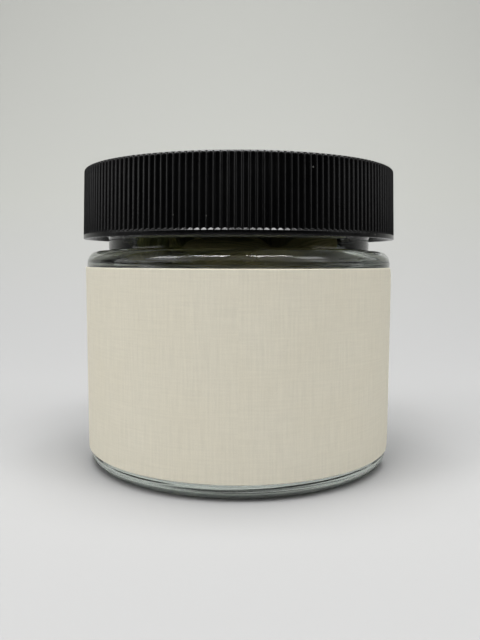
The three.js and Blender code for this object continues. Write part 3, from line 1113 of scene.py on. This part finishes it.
def add_world(settings):
    """Pale light from all round: folded in front, brighter low at both sides, and dark level
    with the jar, where the neck glass would mirror it. The camera sees a plain tone."""
    world = bpy.data.worlds.new("pale_room")
    bpy.context.scene.world = world
    world.use_nodes = True
    tree = world.node_tree
    tree.nodes.clear()
    soft = "SMOOTHSTEP"
    direction = node(tree, "ShaderNodeTexCoord").outputs["Generated"]
    x, y, z = node(tree, "ShaderNodeSeparateXYZ", Vector=direction).outputs

    # Dark: low in front, and level everywhere but behind the jar
    front = ramp(tree, y, -0.48, -0.22, 1.0, 0.0, soft)
    low = ramp(tree, z, 0.30, 0.46, 1.0, 0.0, soft)
    before = ramp(tree, y, 0.08, 0.22, 1.0, 0.0, soft)
    level = ramp(tree, z, 0.05, 0.11, 1.0, 0.0, soft)
    dark = calc(tree, "MAXIMUM", calc(tree, "MULTIPLY", front, low),
                calc(tree, "MULTIPLY", before, level))

    # Folds in the light high in front, and the bright low sides
    upright = node(tree, "ShaderNodeCombineXYZ", Z=z)
    folds = node(tree, "ShaderNodeTexNoise", Vector=upright.outputs[0], Scale=11.0, Detail=1.0)
    folded = ramp(tree, folds.outputs["Fac"], 0.38, 0.58, 0.5, 4.4)
    room = mix(tree, dark, mix(tree, front, 1.0, folded), 0.01)
    left = ramp(tree, x, -0.8, -0.2, 5.6, 1.0)
    right = ramp(tree, x, 0.2, 0.8, 1.0, 4.2)
    walled = ramp(tree, z, 0.28, 0.5, 1.0, 0.25, soft)
    sides = mix(tree, walled, 1.0, calc(tree, "MULTIPLY", left, right))
    strength = calc(tree, "MULTIPLY", calc(tree, "MULTIPLY", room, sides), settings.fill)

    white = (1, 1, 1, 1)
    light = node(tree, "ShaderNodeBackground", Color=white, Strength=strength)
    seen = node(tree, "ShaderNodeBackground", Color=white,
                Strength=ramp(tree, z, -0.05, 0.30, 0.15, 0.55, soft))
    path = node(tree, "ShaderNodeLightPath")
    mixed = node(tree, "ShaderNodeMixShader", _0=path.outputs["Is Camera Ray"],
                 _1=light.outputs[0], _2=seen.outputs[0])
    output = node(tree, "ShaderNodeOutputWorld")
    tree.links.new(mixed.outputs[0], output.inputs["Surface"])


def add_camera():
    """The camera at the photograph's place, with its lens."""
    lens = bpy.data.cameras.new("photo_camera")
    lens.sensor_width = SENSOR_MM
    lens.lens = FOCAL_PIXELS / max(PHOTO_SIZE) * SENSOR_MM
    lens.clip_start = 0.005
    camera = bpy.data.objects.new("photo_camera", lens)
    camera.location = CAMERA_PLACE
    turn = Matrix.Rotation(-CAMERA_YAW, 4, "Z")
    tilt = Matrix.Rotation(math.pi / 2 - CAMERA_PITCH, 4, "X")
    roll = Matrix.Rotation(CAMERA_ROLL, 4, "Z")
    camera.rotation_euler = (turn @ tilt @ roll).to_euler()
    bpy.context.scene.collection.objects.link(camera)
    bpy.context.scene.camera = camera


class CardamomPanel(bpy.types.Panel):
    """Lists the steps that build the jar"""

    bl_idname = "VIEW3D_PT_cardamom_jar"
    bl_label = "Cardamom jar"
    bl_space_type = "VIEW_3D"
    bl_region_type = "UI"
    bl_category = "Cardamom jar"

    def draw(self, context):
        for operator in OPERATORS:
            self.layout.operator(operator.bl_idname)


SETTINGS = {
    "cardamom_jar": JarSettings,
    "cardamom_lid": LidSettings,
    "cardamom_label": LabelSettings,
    "cardamom_pods": PodSettings,
    "cardamom_stage": StageSettings,
}
OPERATORS = (BuildJar, BuildLid, BuildLiner, BuildLabel, BuildPods, BuildStage)


def register():
    """Registers the settings, the operators and the panel."""
    for name, group in SETTINGS.items():
        bpy.utils.register_class(group)
        setattr(bpy.types.Scene, name, bpy.props.PointerProperty(type=group))
    for operator in OPERATORS:
        bpy.utils.register_class(operator)
    bpy.utils.register_class(CardamomPanel)


def unregister():
    """Takes everything off again, in reverse."""
    bpy.utils.unregister_class(CardamomPanel)
    for operator in reversed(OPERATORS):
        bpy.utils.unregister_class(operator)
    for name, group in reversed(list(SETTINGS.items())):
        delattr(bpy.types.Scene, name)
        bpy.utils.unregister_class(group)


def main():
    """Builds every piece in order."""
    register()
    bpy.ops.cardamom.build_jar()
    bpy.ops.cardamom.build_lid()
    bpy.ops.cardamom.build_liner()
    bpy.ops.cardamom.build_label()
    bpy.ops.cardamom.build_pods()
    bpy.ops.cardamom.build_stage()


if __name__ == "__main__":
    main()
